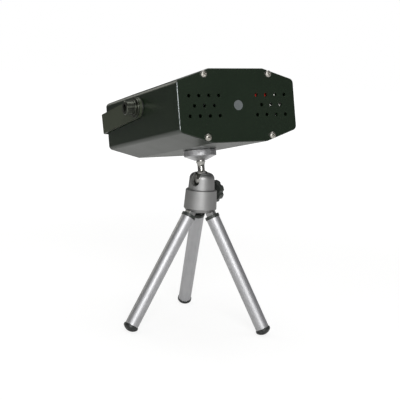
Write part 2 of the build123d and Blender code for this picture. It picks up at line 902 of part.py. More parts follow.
def make_laser_block():
    """Cooling block: a base on the housing floor and a split ring round each module."""
    ring_radius = module_radius + block_ring
    base_top = floor_z + block_base
    half = module_spacing / 2
    base = Pos(block_base_middle, floor_z + block_base / 2) * Rectangle(block_base_width, block_base)
    section = base
    for x in (0, module_spacing):
        section += Pos(x, 0) * Circle(ring_radius)
        section += Pos(x, base_top / 2) * Rectangle(block_web, -base_top)
    section += Pos(half, 0) * Rectangle(module_spacing, block_web)
    for side, x in ((-1, 0), (1, module_spacing)):
        for level in (-1, 0, 1):
            fin = Rectangle(ring_radius + block_fin_height, block_fin, align=(Align.MIN, Align.CENTER))
            section += Pos(x, level * block_fin_step) * Rot(0, 0, 90 - side * 90) * fin
    for x in (0, module_spacing):
        section -= Pos(x, 0) * Circle(module_radius + seat_gap)
        section -= Pos(x, ring_radius) * Rectangle(block_clamp_slit, 2 * ring_radius)
    block = prism(section, front + block_start, block_length)
    nut_room = Cylinder(insert_flange_radius + plain_gap, insert_height + plain_gap)
    return block - Pos(0, 0, stud_rise + (insert_height + plain_gap) / 2) * nut_room


def at_mirrors(shapes):
    """Place a shape behind each mirror, at the green module's beam and at the red one's."""
    green, red = shapes
    place = Pos(0, front + mirror_depth, middle)
    return place * Rot(0, 0, mirror_turn) * green, place * Pos(module_spacing, 0, 0) * Rot(0, 0, mirror_turn) * red


def make_mirror_bracket():
    """Strip on the floor with two posts at 45 degrees, windowed for the green beam."""
    width = mirror_side + 2 * mirror_edge
    height = mirror_side / 2 - floor_z
    offset_y = mirror_thickness + seat_gap + mirror_post / 2
    post = Pos(0, 0, floor_z + height / 2) * Box(width, mirror_post, height)
    posts = at_mirrors((Pos(0, offset_y, 0) * post, Pos(0, -offset_y, 0) * post))
    strip = Box(*mirror_strip, mirror_post, align=(Align.CENTER, Align.CENTER, Align.MIN))
    bracket = Pos(module_spacing / 2, front + mirror_depth, middle + floor_z) * strip
    for post in posts:
        bracket += post
    window = Rot(90, 0, 0) * Cylinder(beam_window, 2 * mirror_strip[1])
    return bracket - Pos(0, front + mirror_depth, middle) * window


def make_mirrors():
    """Filter that joins both beams, and the mirror that turns the red one towards it."""
    plate = Box(mirror_side, mirror_thickness, mirror_side)
    return at_mirrors((Pos(0, mirror_thickness / 2, 0) * plate, Pos(0, -mirror_thickness / 2, 0) * plate))


def make_motor_bracket():
    """Angle on the housing floor that carries the grating motor."""
    upright = Pos(0, floor_z / 2 + motor_radius) * Rectangle(bracket_width, -floor_z + 2 * motor_radius)
    upright -= Pos(-motor_offset, 0) * Circle(motor_boss_radius + seat_gap)
    upright -= Circle(beam_window)
    bracket = prism(upright, front + bracket_depth, bracket_thickness)
    foot = Pos(0, floor_z + bracket_thickness / 2) * Rectangle(bracket_width, bracket_thickness)
    return bracket + prism(foot, front + bracket_depth, bracket_foot)


def make_grating_motor():
    """Round motor behind its bracket, with the boss and shaft to the front."""
    back = front + bracket_depth + bracket_thickness
    body = stepped(
        (0, 0),
        (motor_shaft_radius, 0),
        (motor_shaft_radius, motor_shaft - motor_boss),
        (motor_boss_radius, motor_shaft - motor_boss),
        (motor_boss_radius, motor_shaft),
        (motor_radius, motor_shaft),
        (motor_radius, motor_shaft + motor_length),
        (0, motor_shaft + motor_length),
    )
    return facing(body, back - motor_shaft, -motor_offset, 0)


def grating_front():
    """Depth of the front of the turning grating."""
    return front + bracket_depth - plain_gap - grating_hub


def make_grating_wheel():
    """Thin ruled disc moulded with its hub; it splits the beam while it turns."""
    bore = motor_shaft_radius + seat_gap
    shape = stepped(
        (bore, 0),
        (grating_radius, 0),
        (grating_radius, grating_thickness),
        (grating_hub_radius, grating_thickness),
        (grating_hub_radius, grating_hub),
        (bore, grating_hub),
    )
    return facing(shape, grating_front(), -motor_offset, 0)


def make_board():
    """Driver board, held by its long edges in the housing's grooves."""
    x = board_x + board_thickness / 2
    height = 2 * (inner_half_height(board_x + board_thickness) - plain_gap)
    return prism(Pos(x, 0) * Rectangle(board_thickness, height), front + board_start, board_length)


def on_board(size, place):
    """Block of a given size on the inner side of the board."""
    depth, level = place
    block = Pos(board_x - size[0] / 2, level) * Rectangle(size[0], size[2])
    return prism(block, front + depth - size[1] / 2, size[1])


def make_coils():
    """Two round chokes on the board."""
    coils = []
    for depth, level in coil_places:
        coil = Rot(0, -90, 0) * extrude(Circle(coil_radius) - Circle(coil_radius / 3), coil_height)
        coils.append(Pos(board_x, front + depth, middle + level) * coil)
    return group(coils)


def make_fan_frame():
    """Square frame with three struts that carry the motor's base."""
    section = RectangleRounded(fan_size, fan_size, fan_corner) - Circle(fan_bore_radius)
    half = fan_hole_spread / 2
    section -= GridLocations(fan_hole_spread, fan_hole_spread, 2, 2) * Circle(fan_hole_radius)
    frame = prism(Pos(fan_x, fan_z) * section, tube_rear - fan_depth, fan_depth)
    struts = Circle(fan_base_radius)
    for number in range(fan_struts):
        arm = Rectangle(half + fan_bore_radius / 4, fan_strut, align=(Align.MIN, Align.CENTER))
        struts += Rot(0, 0, 90 + 360 / fan_struts * number) * arm
    frame += prism(Pos(fan_x, fan_z) * struts, tube_rear - fan_depth, fan_base)
    axle = prism(Pos(fan_x, fan_z) * Circle(fan_axle_radius), tube_rear - fan_depth, fan_depth - 2 * fan_base)
    return frame + axle


def make_fan_rotor():
    """Hub with swept blades, each lofted from a steep root to a flatter tip."""
    foot = fan_base + plain_gap
    hub = stepped(
        (fan_axle_radius + running_gap, foot),
        (fan_hub_radius, foot),
        (fan_hub_radius, foot + fan_hub_depth - fan_hub_edge),
        (fan_hub_radius - fan_hub_edge, foot + fan_hub_depth),
        (fan_axle_radius + running_gap, foot + fan_hub_depth),
    )
    level = foot + fan_hub_depth / 2
    tip = fan_bore_radius - fan_tip_gap
    root_plane = Plane(origin=(fan_hub_radius - fan_blade_sink, 0, level), x_dir=(0, 1, 0), z_dir=(1, 0, 0))
    tip_plane = Plane(origin=(tip, 0, level), x_dir=(0, 1, 0), z_dir=(1, 0, 0))
    root = root_plane * Rot(0, 0, fan_pitch_root) * Rectangle(fan_root_chord, fan_blade)
    end = tip_plane * Rot(0, 0, fan_pitch_tip) * Rectangle(fan_blade_chord, fan_blade)
    blade = loft(Sketch() + [root, end])
    rotor = hub
    for number in range(fan_blades):
        rotor += Rot(0, 0, 360 / fan_blades * number) * blade
    rotor -= Cylinder(fan_axle_radius + running_gap, 4 * fan_depth)
    return facing(rotor, tube_rear - fan_depth, fan_x, fan_z)


def make_fan_screws():
    """Four screws from the rear panel into the fan frame."""
    screw = pan_screw(screw_length)
    return group([facing(screw, rear, x, z) for x, z in fan_hole_points()])


def make_jack():
    """Round supply socket with a lip outside and a block inside."""
    inner = tube_rear - jack_depth
    barrel = prism(Circle(jack_radius), inner, jack_depth + panel_thickness)
    barrel += prism(Circle(jack_lip_radius), rear, jack_lip)
    barrel += prism(Rectangle(*jack_body), inner, jack_depth)
    bore_foot = rear + jack_lip - jack_bore_depth
    barrel -= prism(Circle(jack_bore_radius), bore_foot, jack_bore_depth)
    return Pos(jack_x, 0, control_z) * barrel


def make_jack_pin():
    """Contact pin in the middle of the supply socket."""
    bore_foot = rear + jack_lip - jack_bore_depth
    return Pos(jack_x, 0, control_z) * prism(Circle(jack_pin_radius), bore_foot, jack_pin_length)


def make_switch_body():
    """Body of the power switch, open for its rocker."""
    bezel = prism(Rectangle(*rocker_bezel), rear, rocker_bezel_height)
    bezel = chamfer(bezel.faces().sort_by(Axis.Y)[-1].edges(), small_edge)
    body = bezel + prism(Rectangle(*rocker_body), rear - rocker_body_depth, rocker_body_depth)
    room = Rectangle(rocker_cap[0] + 2 * plain_gap, rocker_cap[1] + 2 * plain_gap)
    body -= prism(room, rear - rocker_body_depth / 2, rocker_body_depth)
    return Pos(rocker_x, 0, control_z) * body


def make_rocker():
    """Rocker with a dished face, which tips about an axis level with the panel."""
    reach = rocker_cap[0] / 2
    depth = rocker_body_depth / 2 - rocker_floor_gap
    top = rocker_cap_height
    dish = ThreePointArc((-reach, top), (0, top - rocker_dish), (reach, top))
    foot = rocker_foot / 2
    flanks = Polyline((reach, top), (foot, -depth), (-foot, -depth), (-reach, top))
    face = make_face(Curve() + [dish, flanks])
    rocker = extrude(Plane.XY * face, rocker_cap[1] / 2, both=True)
    return Pos(rocker_x, rear, middle + control_z) * Rot(0, 0, rocker_throw) * rocker


def make_button():
    """Push button with a flange that keeps it behind the panel."""
    back = panel_thickness + seat_gap + button_flange
    shape = stepped(
        (0, -back),
        (button_flange_radius, -back),
        (button_flange_radius, -back + button_flange),
        (button_radius, -back + button_flange),
        (button_radius, button_rise - small_edge),
        (button_radius - small_edge, button_rise),
        (0, button_rise),
    )
    return facing(shape, rear, button_x, control_z)


def make_button_body():
    """Switch behind the push button."""
    back = panel_thickness + 2 * seat_gap + button_flange + button_travel
    section = Pos(button_x, control_z) * Rectangle(button_body, button_body)
    return prism(section, rear - back - button_body_depth, button_body_depth)


def make_speed_control():
    """Round turning control behind the panel, with its bush."""
    body = prism(Circle(speed_body_radius), tube_rear - speed_body_depth, speed_body_depth)
    body += prism(Circle(speed_bush_radius), tube_rear, panel_thickness)
    body -= prism(Circle(speed_shaft_radius + running_gap), tube_rear - speed_body_depth, 2 * speed_body_depth)
    return Pos(speed_x, 0, speed_z) * body


def make_speed_shaft():
    """Shaft of the turning control."""
    length = speed_body_depth + panel_thickness + speed_knob_gap + speed_knob_height / 2
    return Pos(speed_x, 0, speed_z) * prism(Circle(speed_shaft_radius), tube_rear - speed_body_depth, length)


def make_speed_knob():
    """Fluted knob with a pointer groove."""
    outline = Circle(speed_knob_radius)
    outline -= PolarLocations(speed_knob_radius, speed_flutes) * Circle(speed_flute_radius)
    knob = extrude(outline, speed_knob_height)
    knob = chamfer(knob.edges().group_by(Axis.Z)[-1], small_edge)
    seat = Cylinder(
        speed_shaft_radius + seat_gap, speed_knob_height / 2 + seat_gap, align=(Align.CENTER, Align.CENTER, Align.MIN)
    )
    pointer = Box(speed_pointer, speed_knob_radius, speed_pointer, align=(Align.CENTER, Align.MIN, Align.CENTER))
    knob -= seat + Pos(0, 0, speed_knob_height) * pointer
    return facing(knob, rear + speed_knob_gap, speed_x, speed_z)


def make_microphone():
    """Microphone capsule behind its hole, for running to music."""
    section = Pos(microphone_x, microphone_z) * Circle(microphone_radius)
    return prism(section, tube_rear - microphone_depth, microphone_depth)


laser_y = module_rear()
module = make_laser_module()
lens = make_laser_lens()
combiner, mirror = make_mirrors()

head_parts = {
    "housing_tube": make_housing(),
    "front_panel": make_front_panel(),
    "rear_panel": make_rear_panel(),
    "panel_screws": make_panel_screws(),
    "aperture_window": make_window(),
    "tripod_insert": make_tripod_insert(),
    "pivot_bolts": at_pivots(make_pivot_bolt()),
    "pivot_spring_washers": at_pivots(make_spring_washer()),
    "pivot_washers": at_pivots(washer(yoke_outside, flat_washer, flat_washer_radius, pivot_bolt_radius + slide_gap)),
    "pivot_nuts": at_pivots(make_pivot_nut()),
    "yoke_spacers": at_pivots(
        washer(side_x + seat_gap, yoke_gap - 2 * seat_gap, flat_washer_radius, pivot_bolt_radius + slide_gap)
    ),
    "yoke": make_yoke(),
    "laser_block": make_laser_block(),
    "laser_modules": group([facing(module, laser_y, x, 0, False) for x in (0, module_spacing)]),
    "laser_lenses": group([facing(lens, laser_y, x, 0, False) for x in (0, module_spacing)]),
    "mirror_bracket": make_mirror_bracket(),
    "turning_mirror": mirror,
    "beam_combiner": combiner,
    "motor_bracket": make_motor_bracket(),
    "grating_motor": make_grating_motor(),
    "grating_wheel": make_grating_wheel(),
    "driver_board": make_board(),
    "board_capacitor": on_board(capacitor_size, capacitor_place),
    "board_connector": on_board(connector_size, connector_place),
    "board_coils": make_coils(),
    "fan_frame": make_fan_frame(),
    "fan_rotor": make_fan_rotor(),
    "fan_screws": make_fan_screws(),
    "supply_socket": make_jack(),
    "supply_pin": make_jack_pin(),
    "power_switch": make_switch_body(),
    "power_rocker": make_rocker(),
    "mode_button": make_button(),
    "mode_switch": make_button_body(),
    "speed_control": make_speed_control(),
    "speed_shaft": make_speed_shaft(),
    "speed_knob": make_speed_knob(),
    "microphone": make_microphone(),
    "lock_disc": make_lock_disc(),
    "ball_stud": make_ball_stud(),
}

stand_parts = {
    "ball_seat": make_ball_seat(),
    "socket_dome": make_socket_dome(),
    "tripod_hub": make_hub(),
    "pin_plate": make_pin_plate(),
    "pin_plate_screw": make_plate_screw(),
    "leg_pins": make_pins(),
    "clamp_screw": make_clamp_screw(),
    "clamp_knob": make_clamp_knob(),
}

for number, side in enumerate(("rear", "left", "right")):
    stand_parts[side + "_leg_eye"] = on_leg(number, make_leg_eye())
    stand_parts[side + "_leg_collar"] = on_leg(number, make_leg_collar())
    stand_parts[side + "_leg_tube"] = on_leg(number, make_leg_tube())
    under_floor = Pos(0, 0, -ball_height) * Box(
        4 * leg_length, 4 * leg_length, leg_length, align=(Align.CENTER, Align.CENTER, Align.MAX)
    )
    stand_parts[side + "_leg_foot"] = on_leg(number, make_foot()) - under_floor

placed = {name: head_place * shape for name, shape in head_parts.items()}
placed.update({name: stand_place * shape for name, shape in stand_parts.items()})

# The origin is on the floor under the middle of the whole
whole = Compound(list(placed.values())).bounding_box()
to_origin = Pos(-(whole.min.X + whole.max.X) / 2, -(whole.min.Y + whole.max.Y) / 2, 0)

if __name__ == "__main__":
    os.makedirs("parts", exist_ok=True)
    for name, shape in placed.items():
        export_step(to_origin * shape, f"parts/{name}.step")
    print(len(placed), "nodes, size", whole.size)
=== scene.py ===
"""Looks of a small laser show projector on a pocket tripod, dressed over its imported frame."""

import json
from math import radians

import bpy
from mathutils import Matrix, Vector
from mathutils.bvhtree import BVHTree


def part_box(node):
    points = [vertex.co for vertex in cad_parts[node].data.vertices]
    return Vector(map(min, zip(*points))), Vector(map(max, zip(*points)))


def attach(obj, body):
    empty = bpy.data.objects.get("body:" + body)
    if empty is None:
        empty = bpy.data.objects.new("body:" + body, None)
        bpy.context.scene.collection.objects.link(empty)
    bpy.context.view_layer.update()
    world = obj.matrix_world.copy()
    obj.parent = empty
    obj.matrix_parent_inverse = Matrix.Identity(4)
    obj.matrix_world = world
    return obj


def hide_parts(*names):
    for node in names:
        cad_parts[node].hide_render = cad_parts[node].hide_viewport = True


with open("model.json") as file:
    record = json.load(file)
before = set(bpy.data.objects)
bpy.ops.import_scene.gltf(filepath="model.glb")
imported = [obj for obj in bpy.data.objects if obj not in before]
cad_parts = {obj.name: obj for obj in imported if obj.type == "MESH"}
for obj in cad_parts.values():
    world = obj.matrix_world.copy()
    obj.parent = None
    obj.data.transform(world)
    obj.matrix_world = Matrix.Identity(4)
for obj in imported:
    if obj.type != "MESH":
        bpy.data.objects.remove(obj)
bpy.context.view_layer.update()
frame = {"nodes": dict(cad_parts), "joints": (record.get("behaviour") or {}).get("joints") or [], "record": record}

MM = 0.001
record = frame["record"]
joints = {joint["name"]: joint for joint in frame["joints"]}
body_of = {node: body for body, nodes in record["behaviour"]["bodies"].items() for node in nodes}
slot_of = {part["node"]: part["material_slot"] for part in record["subparts"]}

LEGS = ("rear", "left", "right")


def axes_at(place, x, z):
    """Frame at a point, with Z along one direction and X as near as it can be to another."""
    x = (x - z * x.dot(z)).normalized()
    return Matrix.Translation(place) @ Matrix((x, z.cross(x), z)).transposed().to_4x4()


# The head's frame: X along the yoke's pivots, Y towards the rear, Z along the stud
HEAD = axes_at(
    Vector(joints["ball_tilt"]["pos_m"]),
    Vector(joints["yoke_swing"]["axis"]),
    Vector(joints["head_turn"]["axis"]).normalized(),
)
HUB = Matrix.Translation(Vector(joints["ball_swivel"]["pos_m"]))
HEAD_RIGHT, HEAD_REAR, HEAD_UP = (
    HEAD.to_3x3() @ Vector(axis) for axis in ((1, 0, 0), (0, 1, 0), (0, 0, 1))
)


def span(node):
    """Lowest and highest corner of a node, measured in the head's frame."""
    back = HEAD.inverted()
    points = [back @ vertex.co for vertex in frame["nodes"][node].data.vertices]
    return tuple(
        Vector([pick(point[axis] for point in points) for axis in range(3)]) for pick in (min, max)
    )


# Shader maths


class Wire:
    """An output socket that can be added, multiplied and so on, which adds Math nodes."""

    def __init__(self, tree, socket):
        self.tree = tree
        self.socket = socket

    def maths(self, operation, *values):
        return self.tree.add("ShaderNodeMath", {"operation": operation}, *values)

    def __add__(self, other):
        return self.maths("ADD", self, other)

    def __sub__(self, other):
        return self.maths("SUBTRACT", self, other)

    def __rsub__(self, other):
        return self.maths("SUBTRACT", other, self)

    def __mul__(self, other):
        return self.maths("MULTIPLY", self, other)

    __radd__ = __add__
    __rmul__ = __mul__

    def most(self, other):
        """The larger of the two."""
        return self.maths("MAXIMUM", self, other)

    def above(self, edge, softness):
        """0 below the edge, 1 above it, with a soft step between."""
        soft = {"interpolation_type": "SMOOTHSTEP"}
        return self.tree.add("ShaderNodeMapRange", soft, self, edge - softness, edge + softness)

    def also(self, output):
        """Another output of the same node."""
        return Wire(self.tree, self.socket.node.outputs[output])


class Tree:
    """The nodes of a material or a world, all made by one method."""

    def __init__(self, owner):
        owner.use_nodes = True
        self.nodes = owner.node_tree.nodes
        self.links = owner.node_tree.links

    def add(self, kind, settings=None, *values, output=0, **named):
        """Any node: its settings first, then the values or wires of its inputs."""
        node = self.nodes.new(kind)
        for key, value in (settings or {}).items():
            setattr(node, key, value)
        for socket, value in zip(node.inputs, values):
            self.feed(socket, value)
        for key, value in named.items():
            self.feed(node.inputs[key.title()], value)
        return Wire(self, node.outputs[output])

    def feed(self, socket, value):
        """Link a wire into a socket, or set its constant. None leaves it as it is."""
        if isinstance(value, Wire):
            self.links.new(value.socket, socket)
        elif isinstance(value, tuple) and socket.type == "RGBA":
            socket.default_value = (*value, 1.0)
        elif value is not None:
            socket.default_value = value


class Finish(Tree):
    """A material being mixed, built round one Principled shader."""

    def __init__(self, name):
        self.material = bpy.data.materials.new(name)
        super().__init__(self.material)
        self.shader = self.nodes["Principled BSDF"]

    def point(self, place=None, stretch=(1, 1, 1)):
        """Object coordinates, or those of a tilted piece, stretched along its axes."""
        source = self.add("ShaderNodeTexCoord", output="Object")
        if place is None:
            return source
        back = place.inverted()
        kind = {"vector_type": "POINT"}
        moved = self.add(
            "ShaderNodeMapping", kind, source, tuple(back.translation), tuple(back.to_euler())
        )
        return self.add("ShaderNodeMapping", kind, moved, scale=stretch)

    def noise(self, where, scale, detail=2.0, roughness=0.5):
        kind = {"noise_dimensions": "3D"}
        return self.add(
            "ShaderNodeTexNoise", kind, where, scale=scale, detail=detail, roughness=roughness
        )

    def mix(self, amount, first, second):
        """Blend of two colours, which are the seventh and eighth inputs of a Mix node."""
        others = [None] * 5
        kind = {"data_type": "RGBA"}
        return self.add("ShaderNodeMix", kind, amount, *others, first, second, output=2)

    def bump(self, height, strength, depth):
        """Relief of a depth in millimetres."""
        relief = self.add("ShaderNodeBump", strength=strength, distance=depth * MM, height=height)
        self.set(Normal=relief)

    def set(self, **sockets):
        """Constants or wires of the Principled shader."""
        for key, value in sockets.items():
            self.feed(self.shader.inputs[key.replace("_", " ")], value)


def shade(red, green, blue):
    """Colour written as it shows on a screen, 0 to 255, as the shader wants it."""

    def linear(value):
        value /= 255
        return value / 12.92 if value <= 0.04045 else ((value + 0.055) / 1.055) ** 2.4

    return tuple(linear(value) for value in (red, green, blue))


WHITE = (1, 1, 1)
DUST = shade(120, 122, 112)
# Colour of the painted highlight along the front panel's left edge, bright as bare metal
BARE_EDGE_HIGHLIGHT = shade(215, 222, 224)
SOLDER = shade(200, 200, 195)

FRONT_FACE = span("front_panel")[0].y
LEFT_SIDE = span("front_panel")[0].x
# Painted highlight: the front panel's upright left edge is coloured as bright bare metal over this width
EDGE_HIGHLIGHT_WIDTH = 0.35 * MM
EDGE_HIGHLIGHT_FADE = 0.12 * MM

IOR = 1.5
FINE_GRAIN = 2600.0
WINDING_WAVE = 2600.0
# Scale along the axis that a tube was drawn on, so that its noise turns into lines
DRAWN = (1, 1, 0.02)


def enamel(name, base, worn, gloss):
    """Satin sprayed enamel: fine orange peel, faint clouding, a little dust and a painted highlight along one
    edge, coloured as bare metal.
    """
    finish = Finish(name)
    where = finish.point()
    cloud = finish.noise(where, scale=38.0, detail=3.0)
    peel = finish.noise(where, scale=1500.0, roughness=0.6)
    grain = finish.noise(where, scale=5200.0, detail=1.0)
    dust = finish.noise(where, scale=900.0, detail=4.0, roughness=0.7).above(0.68, 0.05)
    colour = finish.mix(cloud.above(0.5, 0.35) * 0.5, base, worn)
    colour = finish.mix(dust * 0.10, colour, DUST)
    across = finish.add("ShaderNodeSeparateXYZ", None, finish.point(HEAD))
    back = across.also("Y")
    # Painted highlight: the front panel's upright left edge turns bright bare metal, patchy by noise
    edge_highlight = 1 - across.above(LEFT_SIDE + EDGE_HIGHLIGHT_WIDTH, EDGE_HIGHLIGHT_FADE)
    edge_highlight = edge_highlight * (1 - back.above(FRONT_FACE + EDGE_HIGHLIGHT_WIDTH, EDGE_HIGHLIGHT_FADE))
    edge_highlight = edge_highlight * finish.noise(where, scale=160.0, detail=3.0).above(0.36, 0.1)
    finish.set(Base_Color=finish.mix(edge_highlight, colour, BARE_EDGE_HIGHLIGHT), Metallic=edge_highlight * 0.6)
    finish.set(Roughness=cloud * 0.10 + grain * 0.05 + (gloss - 0.06) + dust * 0.15)
    finish.set(Specular_IOR_Level=0.5, IOR=IOR)
    finish.bump(peel + grain * 0.4, strength=0.22, depth=0.06)
    return finish.material


def plated(name, base, dull, rough, strength=0.15):
    """Plated or polished metal with faint clouding and hairlines."""
    finish = Finish(name)
    where = finish.point()
    cloud = finish.noise(where, scale=220.0, detail=3.0)
    hair = finish.noise(where, scale=FINE_GRAIN, roughness=0.6)
    finish.set(Base_Color=finish.mix(cloud.above(0.5, 0.3), base, dull), Metallic=1.0)
    finish.set(Roughness=cloud * 0.10 + hair * 0.08 + (rough - 0.08))
    finish.bump(hair, strength, depth=0.04)
    return finish.material


def drawn_metal(name, base, dull, rough, place, stretch=DRAWN):
    """Satin anodised aluminium with lines along the axis it was drawn or brushed on."""
    finish = Finish(name)
    where = finish.point()
    lines = finish.noise(finish.point(place, stretch), scale=3400.0, detail=3.0, roughness=0.6)
    fine = finish.noise(where, scale=4200.0, detail=1.0)
    cloud = finish.noise(where, scale=90.0)
    amount = cloud.above(0.5, 0.4) * 0.6 + lines * 0.3
    finish.set(Base_Color=finish.mix(amount, base, dull), Metallic=1.0)
    finish.set(Roughness=lines * 0.16 + fine * 0.06 + cloud * 0.06 + (rough - 0.14))
    finish.bump(lines + fine * 0.5, strength=0.18, depth=0.03)
    return finish.material


def moulded(name, base, rough, grain_scale=FINE_GRAIN, strength=0.25):
    """Moulded plastic or rubber with a fine eroded grain."""
    finish = Finish(name)
    where = finish.point()
    grain = finish.noise(where, grain_scale, roughness=0.6)
    cloud = finish.noise(where, scale=120.0, detail=3.0)
    pale = tuple(min(1.0, value * 1.5 + 0.006) for value in base)
    finish.set(Base_Color=finish.mix(cloud.above(0.52, 0.3) * 0.6, base, pale))
    finish.set(Roughness=grain * 0.12 + cloud * 0.10 + (rough - 0.11))
    finish.bump(grain, strength, depth=0.08)
    return finish.material


def clear(name, base, rough, frost, passing):
    """Clear pane with faint frosting."""
    finish = Finish(name)
    haze = finish.noise(finish.point(), scale=700.0, detail=3.0)
    dull = tuple(value * 0.8 for value in base)
    finish.set(Base_Color=finish.mix(haze.above(0.5, 0.3) * frost, base, dull))
    finish.set(Roughness=haze * 0.12 + (rough - 0.04), Transmission_Weight=passing, IOR=IOR)
    finish.bump(haze, strength=0.05, depth=0.03)
    return finish.material


def laminate(name, base, track):
    """Circuit board: solder mask over tracks, with pads."""
    finish = Finish(name)
    where = finish.point(HEAD)
    kind = {"feature": "DISTANCE_TO_EDGE", "distance": "MANHATTAN"}
    tracks = 1 - finish.add("ShaderNodeTexVoronoi", kind, where, scale=240.0).above(0.06, 0.02)
    kind = {"feature": "F1"}
    pads = 1 - finish.add("ShaderNodeTexVoronoi", kind, where, scale=260.0).above(0.22, 0.02)
    colour = finish.mix(tracks, base, track)
    finish.set(Base_Color=finish.mix(pads, colour, SOLDER), Roughness=0.42 - pads * 0.12)
    finish.bump(tracks + pads * 0.6, strength=0.3, depth=0.05)
    return finish.material


def winding(name, base, gap, place):
    """Varnished wire wound side by side."""
    finish = Finish(name)
    across = finish.add("ShaderNodeSeparateXYZ", None, finish.point(place))
    wave = across.maths("SINE", across * WINDING_WAVE)
    finish.set(Base_Color=finish.mix(wave.above(-0.2, 0.5), gap, base))
    finish.set(Roughness=0.3, Coat_Weight=0.5)
    finish.bump(wave, strength=0.5, depth=0.1)
    return finish.material


def leg_place(side):
    """Frame of a leg: its pin, with Z along the tube."""
    low, high = (Vector(corner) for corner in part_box(side + "_leg_tube"))
    pin = Vector(joints[side + "_leg_fold"]["pos_m"])
    along = (pin - (low + high) / 2).normalized()
    across = Vector(joints[side + "_leg_fold"]["axis"]).normalized()
    turn = Matrix((across.cross(along).normalized(), across, along)).transposed()
    return Matrix.Translation(pin) @ turn.to_4x4()


finishes = {
    "housing_enamel": enamel("black_green_enamel", shade(12, 26, 12), shade(18, 31, 15), 0.3),
    "yoke_enamel": enamel("yoke_enamel", shade(52, 58, 44), shade(60, 66, 51), 0.34),
    "screw_nickel": plated("nickel_screws", shade(196, 194, 187), shade(166, 163, 156), 0.3),
    "screw_black": plated("blackened_steel", shade(98, 101, 92), shade(74, 77, 70), 0.32),
    "spacer_nylon": moulded("black_nylon", shade(30, 31, 30), 0.5),
    "aperture_glass": clear("aperture_pane", shade(97, 102, 103), 0.45, 0.6, 0.12),
    "zinc_steel": plated("zinc_plate", shade(176, 177, 176), shade(146, 148, 148), 0.3),
    "stud_chrome": plated(
        "bright_chrome", shade(178, 177, 173), shade(156, 155, 151), 0.14, strength=0.05
    ),
    "disc_aluminium": drawn_metal(
        "turned_disc", shade(228, 228, 230), shade(210, 210, 212), 0.44, HEAD, (1, 1, 1)
    ),
    "stand_aluminium": drawn_metal(
        "satin_hub", shade(172, 172, 172), shade(158, 158, 157), 0.5, HUB, (0.05, 0.05, 1)
    ),
    "block_aluminium": drawn_metal(
        "milled_block", shade(190, 190, 190), shade(170, 170, 170), 0.35, HEAD, (1, 0.05, 1)
    ),
    "module_brass": plated("turned_brass", shade(206, 176, 104), shade(180, 150, 84), 0.28),
    "lens_glass": clear("lens_glass", shade(225, 235, 240), 0.05, 0.1, 0.95),
    "mirror_glass": plated(
        "silvered_mirror", shade(235, 235, 235), shade(225, 225, 226), 0.06, strength=0.02
    ),
    "grating_plastic": clear("ruled_grating", shade(225, 228, 232), 0.12, 0.3, 0.8),
    "motor_steel": plated("plated_can", shade(175, 175, 174), shade(150, 150, 150), 0.34),
    "board_laminate": laminate("driver_board", shade(196, 208, 190), shade(176, 196, 172)),
    "capacitor_red": moulded("red_capacitor", shade(205, 44, 34), 0.3, strength=0.08),
    "connector_white": moulded("white_connector", shade(226, 226, 218), 0.45, strength=0.08),
    "coil_copper": winding("wound_copper", shade(176, 96, 52), shade(70, 34, 18), HEAD),
    "black_plastic": moulded("black_plastic", shade(38, 42, 39), 0.42),
    "rocker_plastic": moulded("gloss_black_plastic", shade(26, 27, 26), 0.25, strength=0.06),
    "foot_rubber": moulded("foot_rubber", shade(33, 36, 35), 0.4, 1600.0, 0.3),
}
tube_finish = {
    side: drawn_metal(
        side + "_drawn_tube", shade(200, 200, 202), shade(188, 188, 190), 0.54, leg_place(side)
    )
    for side in LEGS
}


# Shared modelling steps

MERGE = 2e-6
FLAT_ANGLE = radians(0.6)
SHARP_ANGLE = radians(32)
SMALL_SHARP_ANGLE = radians(35)
ROD_SIDES = 20
ROD_EASE = 0.3
FLAT_WEIGHT = 80


def deselect():
    bpy.ops.object.select_all(action="DESELECT")


def only(piece):
    """Deselect all and make one piece active."""
    deselect()
    piece.select_set(True)
    bpy.context.view_layer.objects.active = piece


def edit(piece, *steps):
    """Run edit-mode steps on all of one piece."""
    only(piece)
    bpy.ops.object.mode_set(mode="EDIT")
    bpy.ops.mesh.select_all(action="SELECT")
    for step in steps:
        step()
    bpy.ops.object.mode_set(mode="OBJECT")


def apply_all(piece):
    """Apply every modifier of a piece."""
    only(piece)
    for modifier in list(piece.modifiers):
        bpy.ops.object.modifier_apply(modifier=modifier.name)


def bevel(piece, width, segments, **settings):
    """Ease the edges of a piece by a width in millimetres."""
    ease = piece.modifiers.new("eased_edges", "BEVEL")
    ease.width = width * MM
    ease.segments = segments
    for key, value in settings.items():
        setattr(ease, key, value)
    apply_all(piece)


def smooth(piece, angle):
    """Shade a piece smooth, apart from edges sharper than an angle."""
    only(piece)
    bpy.ops.object.shade_smooth_by_angle(angle=angle)


def own(piece, body, slot, material):
    """Give a piece its material, or its slot's finish, and put it on its body."""
    piece.data.materials.clear()
    piece.data.materials.append(material or finishes[slot])
    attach(piece, body)


def dress(node, edge=0.0, material=None):
    """Merged copy of a CAD piece with eased edges and smooth curves, in place of the plain one."""
    plain = frame["nodes"][node]
    piece = bpy.data.objects.new(node + "_finished", plain.data.copy())
    bpy.context.scene.collection.objects.link(piece)
    edit(
        piece,
        lambda: bpy.ops.mesh.remove_doubles(threshold=MERGE),
        lambda: bpy.ops.mesh.dissolve_limited(angle_limit=FLAT_ANGLE),
    )
    if edge:
        corners = {"angle_limit": SHARP_ANGLE, "miter_outer": "MITER_ARC"}
        bevel(piece, edge, 2, limit_method="ANGLE", **corners)
    smooth(piece, SHARP_ANGLE)
    # Big flat faces keep their own direction, so that eased edges don't shade them
    flats = piece.modifiers.new("flat_faces", "WEIGHTED_NORMAL")
    flats.mode = "FACE_AREA"
    flats.weight = FLAT_WEIGHT
    flats.keep_sharp = True
    apply_all(piece)
    own(piece, body_of[node], slot_of[node], material)
    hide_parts(node)


